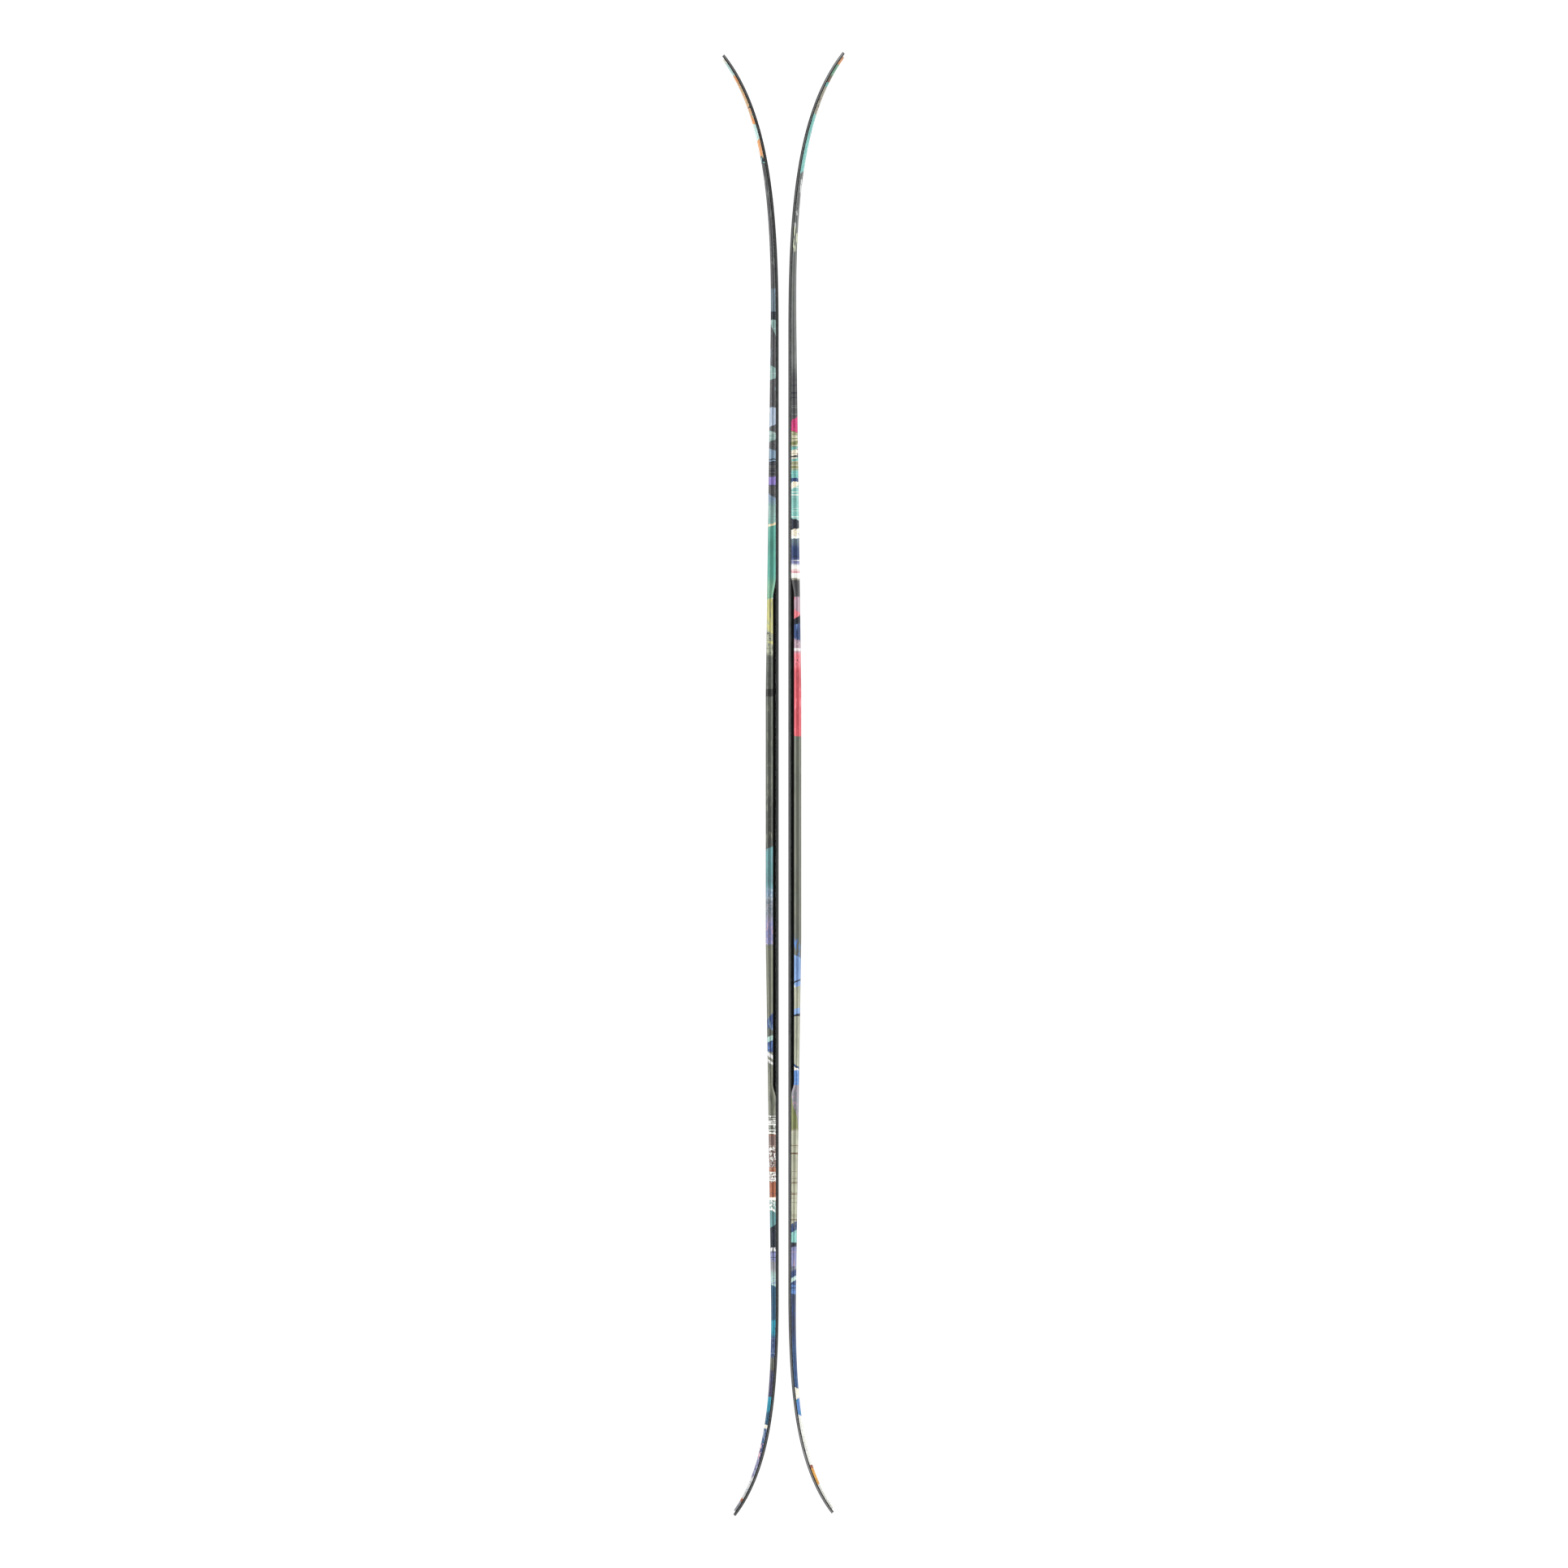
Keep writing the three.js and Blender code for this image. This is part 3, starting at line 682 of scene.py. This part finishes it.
RIGHT_ART = [
    (0, 0, 0, "bone", "cream", 0.2, 0.3, 0), (35, 2, 0, "gold", "orange", 0.3, 0.3, 0),
    (55, 0, 0, "brown", "rust", 0.4, 0, 0), (59, 0, 0, "bone", "fog", 0.3, 0.3, 0.1),
    (121, -3, 0, "denim", "petrol", 0.2, 0.4, 0), (138, 3, 0, "cream", "white", 0.1, 0.3, 0),
    (154.5, -3, 0, "marine", "navy", 0.2, 0.6, 0), (195, 0, 30, "midnight", "navy", 0.1, 0.5, 0),
    (267, 0, 0, "denim", "navy", 0.4, 0.3, 0), (278, 0, 0, "navy", "ink", 0, 0, 0),
    (280.5, 4, 0, "pale aqua", "white", 0, 0.3, 0.2), (285.5, 4, 0, "navy", "ink", 0.2, 0.3, 0),
    (293, 3, 3, "slate lilac", "navy", 0.3, 0.6, 0), (300.5, 0, 0, "lilac", "mauve", 0.2, 0.3, 0.2),
    (324.5, 0, 0, "ink", "navy", 0, 0.2, 0), (329.5, 0, 0, "aqua", "steel blue", 0.2, 0.3, 0),
    (340.5, 5, 0, "navy", "stone", 0, 0.6, 0.2), (351.5, 5, 0, "khaki", "umber", 0.35, 0, 0),
    (467.5, 0, 0, "fern", "olive", 0, 0.3, 0.3), (512, -43, 0, "slate lilac", "mauve", 0.1, 0.2, 0.5),
    (521, 0, 0, "denim", "sky", 0.1, 0.3, 0), (539, 0, 0, "cream", "white", 0, 0, 0),
    (544.5, -5, 0, "navy", "ink", 0, 0, 0), (547.5, -5, 0, "stone", "khaki", 0.05, 0.4, 0),
    (605, 0, 0, "ink", "navy", 0, 0, 0), (606.5, 2, 0, "sky", "stone", 0, 0.3, 0.2),
    (613, 3, 0, "stone", "khaki", 0.05, 0.4, 0), (640, 2, 0, "sky", "white", 0, 0.3, 0),
    (644.5, 4, 0, "ink", "ink", 0, 0, 0), (646.5, 4, 0, "sky", "denim", 0.1, 0.4, 0),
    (680.5, -5, 0, "sage", "denim", 0, 0.6, 0), (697, 0, 10, "sage", "olive", 0.05, 0.5, 0),
    (945.5, 0, 0, "coral", "rose", 0, 0.4, 0), (1024.5, 0, 10, "rose", "plum", 0.2, 0.2, 0.35),
    (1044, 0, 6, "mauve", "white", 0.3, 0.2, 0.3), (1062.5, -3, 3, "navy", "sky", 0.1, 0.4, 0),
    (1080, 4, 0, "night", "ink", 0, 0, 0), (1087, 6, 0, "rose", "coral", 0, 0.3, 0),
    (1100, -5, 0, "mauve", "coral", 0.1, 0.4, 0), (1115, 0, 0, "charcoal", "taupe", 0, 0.3, 0),
    (1135.5, 0, 0, "clay", "taupe", 0, 0, 0), (1137.5, 0, 0, "blush", "white", 0.7, 0, 0),
    (1147.5, 0, 2, "white", "white", 0, 0, 0), (1151.5, 0, 5, "lilac", "white", 0.2, 0, 0),
    (1157, 0, 6, "navy", "ink", 0.4, 0, 0), (1173, 0, 11, "slate", "pale lilac", 0.3, 0, 0),
    (1186, 0, 0, "white", "white", 0, 0, 0), (1189, 0, 0, "cream", "iris", 0, 0.2, 0.3),
    (1196.5, 2, 0, "ink", "charcoal", 0, 0.3, 0), (1210.5, -2, 0, "aqua", "bone", 0.35, 0, 0.1),
    (1245, 6, 0, "cream", "white", 0, 0, 0), (1253.5, 4, 0, "turquoise", "aqua", 0, 0, 0),
    (1255, 0, 0, "navy", "ink", 0, 0, 0), (1259, 0, 0, "turquoise", "aqua", 0.3, 0.3, 0),
    (1267.5, 0, 4, "fern", "khaki", 0.5, 0.2, 0), (1280, 0, 0, "turquoise", "ink", 0, 0, 0),
    (1281.5, 3, 0, "charcoal", "cream", 0.6, 0, 0), (1286, 3, 0, "cream", "ink", 0.4, 0, 0.2),
    (1292.5, 3, 0, "turquoise", "aqua", 0, 0.2, 0), (1296, 0, 3, "fern", "cream", 0.45, 0.2, 0),
    (1317, -2, 0, "crimson", "rose", 0, 0.2, 0), (1328, 7, 0, "charcoal", "graphite", 0.5, 0, 0),
    (1345, 0, 12, "charcoal", "ink", 0.5, 0.3, 0), (1380, 0, 22, "graphite", "sage", 0.05, 0.4, 0),
    (1535, 0, 0, "graphite", "pale olive", 0, 0.65, 0.2), (1565, 0, 0, "graphite", "fog", 0, 0.6, 0),
    (1629, 4, 0, "aqua", "turquoise", 0.1, 0.6, 0.2), (1704, -4, 0, "clay", "taupe", 0.1, 0.5, 0.1),
    (1735.5, 0, 0, "turquoise", "grass", 0, 0.3, 0), (1740.5, 0, 0, "olive", "rust", 0.1, 0.4, 0.2),
    (1748, 2, 0, "grass", "aqua", 0.1, 0.4, 0.1), (1763, -2, 0, "orange", "gold", 0, 0.4, 0),
]

CRISP = 0.25                # length over which a band without a fade begins
UNEVEN, UNEVEN_GRAIN = 3, (5, 5, 9)

# Marks are painted where noise passes PAINTED_FROM. A share of 1 adds FULL_SHARE to the noise.
LINE_GRAIN, DASH_GRAIN, SPECK_GRAIN = (90, 90, 1.7), (2, 3, 13), (2.4, 2.4, 2.4)
PAINTED_FROM, PAINTED_FULLY, FULL_SHARE = 0.73, 0.745, 0.3

# How far the print is carried along the ski over its face, and the size of the waves and shards.
WAVE_REACH, WAVE_SIZE = 520, (60, 60, 210)
SHARD_REACH, SHARD_SIZE = 110, (90, 70, 210)
SWEEP = 150

WALL_PAINTED_SHADE = 0.12           # of near black painted over the wall, as painted shade
CLOUD_SHADE = 0.3           # at most, of the colour jet in clouds over the whole print


def banded(m, above_tail, climb, art):
    """Ground colour, marks' colour and marks' shares of the bands, each laid over those below."""
    ground, marks, shares = None, None, None
    for start, lean, fade, ground_name, marks_name, *share in art:
        colours = linear(COLOURS[ground_name]), linear(COLOURS[marks_name]), share + [1]
        if ground is None:
            ground, marks, shares = colours
            continue
        at = m.math("MULTIPLY_ADD", climb, -lean, above_tail) if lean else above_tail
        here = m.fit(at, start, start + max(fade, CRISP))
        ground = m.mix(here, ground, colours[0])
        marks = m.mix(here, marks, colours[1])
        shares = m.mix(here, shares, colours[2])
    return ground, marks, shares


def flow_over_face(m, flank):
    """How far the bands are carried along the ski over its face, in millimetres.

    On the edge towards -Y they keep their order. From there they sweep over the face in long
    waves, cut by a few large shards.
    """
    away = m.fit(flank, 0.02, 0.5)
    waves = m.math("MULTIPLY", m.math("SUBTRACT", m.noise(WAVE_SIZE, 1), 0.5), WAVE_REACH)
    cells = m.node("ShaderNodeTexVoronoi", {"Vector": m.scaled(*SHARD_SIZE), "Scale": 1.0})
    cell = m.node("ShaderNodeSeparateColor", {0: cells.outputs["Color"]}).outputs[0]
    shards = m.math("MULTIPLY", m.math("SUBTRACT", cell, 0.5), SHARD_REACH)
    sweep = m.math("MULTIPLY", flank, SWEEP)
    return m.math("MULTIPLY", m.math("ADD", m.math("ADD", waves, shards), sweep), away)


def painted(m, grain, share):
    """Where marks of the given grain lie, for a share of the ground between 0 and 1."""
    level = m.math("MULTIPLY_ADD", share, FULL_SHARE, m.noise(grain, 2))
    return m.fit(level, PAINTED_FROM, PAINTED_FULLY)


def top_sheet_print_and_painted_light(ski, art):
    m = Shader(f"{ski.body}_top_print_and_painted_light", Roughness=0.34, Specular_IOR_Level=0.3, Coat_Weight=0.25)
    m.set(Coat_Roughness=0.12)
    height = m.node("ShaderNodeSeparateXYZ", {0: m.object}).outputs["Z"]
    above_tail = m.math("MULTIPLY", m.math("SUBTRACT", height, ski.tail), 1 / MM)
    flank = m.attribute("flank")
    profile = m.attribute("profile")
    uneven = m.math("MULTIPLY", m.math("SUBTRACT", m.noise(UNEVEN_GRAIN, 1), 0.5), UNEVEN)
    place = m.math("ADD", m.math("ADD", above_tail, uneven), flow_over_face(m, flank))
    climb = m.fit(profile, RIM, BEVEL_TOP, smooth=False)

    ground, marks, shares = banded(m, place, climb, art)
    share = m.node("ShaderNodeSeparateColor", {0: shares}).outputs
    cover = m.math("MAXIMUM", painted(m, LINE_GRAIN, share[0]), painted(m, DASH_GRAIN, share[1]))
    cover = m.math("MAXIMUM", cover, painted(m, SPECK_GRAIN, share[2]))
    colour = m.mix(cover, ground, marks)
    cloudy = m.noise((14, 10, 30), 4, 0.6)
    colour = m.mix(m.fit(cloudy, 0.4, 0.75, 0, CLOUD_SHADE), colour, linear(COLOURS["jet"]))

    # Painted light: the lip and the bevel are painted paler than the wall between them, and than the face,
    # as painted highlights, and the wall is painted darker, as painted shade.
    past_lip = m.fit(profile, LIP_TOP + 0.1, LIP_TOP + 0.25)
    below_bevel = m.fit(profile, WALL_TOP - 0.25, WALL_TOP - 0.05, 1, 0)
    wall = m.math("MULTIPLY", past_lip, below_bevel)
    strip = m.fit(profile, RIM, RIM + 0.1)
    face = m.fit(profile, BEVEL_TOP - 0.2, BEVEL_TOP)
    pale = m.math("SUBTRACT", m.math("SUBTRACT", strip, wall), face, clamp=True)
    # Painted shade: near black mixed over the wall.
    colour = m.mix(m.math("MULTIPLY", wall, WALL_PAINTED_SHADE), colour, linear("0a0a0a"))
    # Painted highlight: the lip and the bevel are screened lighter.
    colour = m.mix(pale, colour, m.mix(1.0, colour, colour, "SCREEN"))
    m.set(Base_Color=colour)

    texture = m.noise((0.5, 0.5, 0.5), 2)
    m.set(Roughness=m.fit(texture, 0.35, 0.7, 0.26, 0.42))
    m.bump(texture, 0.03, 0.35)
    return m.material


# --- The pair ----------------------------------------------------------------------------------

def dress(ski, art, steel, shared):
    """Puts the finer pieces on one ski, and materials on the CAD nodes sealed inside it."""
    # The inside edges of both skis lie towards -Y; a turned ski's own two sides are swapped.
    for where, side in (("inside", -ski.turn), ("outside", ski.turn)):
        ski.add(f"{where}_edge", edge_rings(side), steel, "edge_steel")
        ski.add(f"{where}_edge_foil", foil_rings(side), shared["rubber"], "damping_rubber")
        ski.add(f"{where}_sidewall", sidewall_rings(side), shared["sidewall"], "sidewall")
    ski.add("base", base_rings(), shared["base"], "running_base")
    ski.add("lower_laminate", lower_laminate_rings(), shared["laminate"], "laminate")
    ski.add("top_sheet", top_sheet_rings(), top_sheet_print_and_painted_light(ski, art), f"{ski.body}_top_sheet")
    inner = {
        "upper_laminate": shared["laminate"],
        "wood_core": shared["wood"],
        "tip_spacer": shared["spacer"],
        "tail_spacer": shared["spacer"],
        "binding_plate": shared["alloy"],
    }
    for part, material in inner.items():
        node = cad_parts[f"{ski.body}_{part}"]
        node.data.materials.clear()
        node.data.materials.append(material)


def make_pair():
    shared = {
        "base": base_plastic(),
        "rubber": rubber(),
        "laminate": glass_laminate(),
        "sidewall": sidewall_plastic(),
        "wood": core_wood(),
        "spacer": spacer_plastic(),
        "alloy": plate_alloy(),
    }
    # One steel in two copies: the left ski's edges are painted darker, as painted shade, and the right ski's
    # paler, as painted light.
    steel_in_painted_shade = edge_steel("edge_steel_painted_shade", "606161", "404141")
    steel_in_painted_light = edge_steel("edge_steel_painted_light", "8e8f8f", "6a6b6b")
    dress(Ski("left_ski", False), LEFT_ART, steel_in_painted_shade, shared)
    dress(Ski("right_ski", True), RIGHT_ART, steel_in_painted_light, shared)


# --- Studio ------------------------------------------------------------------------------------

# Metres and watts.
FLOOR_RADIUS = 9
FLOOR_DROP = 0.001          # below the lower tail
VIEW_WIDTH = 1.907
VIEW_CENTRE = Vector((0.0006, 0, -0.4494))
VIEW_DISTANCE = 4
WORLD_IN_FRONT, WORLD_BEHIND, WORLD_SEEN = 0.22, 0.6, 1.1
SOFTBOX_ASIDE, SOFTBOX_IN_FRONT, SOFTBOX_RAISED = 1.9, 1.3, 0.1
SOFTBOX_SIZE = (0.9, 2.4)
LEFT_POWER, RIGHT_POWER, CEILING_POWER = 39, 32, 200
CEILING_HEIGHT, CEILING_SIZE = 3.5, (9, 9)


def studio_floor():
    plain = Shader("studio_floor", Roughness=0.8)
    plain.set(Base_Color=plain.mix(plain.noise((400, 400, 400), 1), linear("f4f4f3"), linear("fafafa")))
    bpy.ops.mesh.primitive_circle_add(
        vertices=96, radius=FLOOR_RADIUS, fill_type="NGON",
        location=(0, 0, CAD_BOX[0].z - FLOOR_DROP),
    )
    floor = bpy.context.object
    floor.name = "studio_floor"
    floor.data.materials.append(plain.material)


def softbox(name, spot, size, power):
    light = bpy.data.lights.new(name, "AREA")
    light.shape = "RECTANGLE"
    light.size, light.size_y = size
    light.energy = power
    box = bpy.data.objects.new(name, light)
    box.location = spot
    target = Vector((0, 0, VIEW_CENTRE.z))
    box.rotation_euler = (target - Vector(spot)).to_track_quat("-Z", "Y").to_euler()
    bpy.context.collection.objects.link(box)


def studio_world():
    """White where the camera sees it. As light it is brighter behind the pair than in front."""
    world = bpy.data.worlds.new("studio")
    world.use_nodes = True
    tree = world.node_tree
    back = tree.nodes["Background"]
    direction = tree.nodes.new("ShaderNodeTexCoord")
    parts = tree.nodes.new("ShaderNodeSeparateXYZ")
    tree.links.new(direction.outputs["Generated"], parts.inputs[0])
    fade = tree.nodes.new("ShaderNodeMapRange")
    fade.inputs[1].default_value = -1
    fade.inputs[3].default_value = WORLD_IN_FRONT
    fade.inputs[4].default_value = WORLD_BEHIND
    tree.links.new(parts.outputs["Y"], fade.inputs[0])
    seen = tree.nodes.new("ShaderNodeLightPath")
    strength = tree.nodes.new("ShaderNodeMix")
    tree.links.new(seen.outputs["Is Camera Ray"], strength.inputs[0])
    tree.links.new(fade.outputs[0], strength.inputs[2])
    strength.inputs[3].default_value = WORLD_SEEN
    tree.links.new(strength.outputs[0], back.inputs["Strength"])
    back.inputs["Color"].default_value = (1, 1, 1, 1)
    bpy.context.scene.world = world


def studio_camera():
    lens = bpy.data.cameras.new("camera")
    lens.type = "ORTHO"
    lens.ortho_scale = VIEW_WIDTH
    camera = bpy.data.objects.new("camera", lens)
    camera.location = VIEW_CENTRE + Vector((0, -VIEW_DISTANCE, 0))
    camera.rotation_euler = (math.radians(90), 0, 0)
    bpy.context.collection.objects.link(camera)
    bpy.context.scene.camera = camera


def studio():
    studio_camera()
    studio_floor()
    studio_world()
    for side, name, power in ((-1, "softbox_left", LEFT_POWER), (1, "softbox_right", RIGHT_POWER)):
        spot = (side * SOFTBOX_ASIDE, -SOFTBOX_IN_FRONT, VIEW_CENTRE.z + SOFTBOX_RAISED)
        softbox(name, spot, SOFTBOX_SIZE, power)
    softbox("ceiling", (0, 0, CEILING_HEIGHT), CEILING_SIZE, CEILING_POWER)
    bpy.context.scene.view_settings.view_transform = "Standard"


make_pair()
studio()
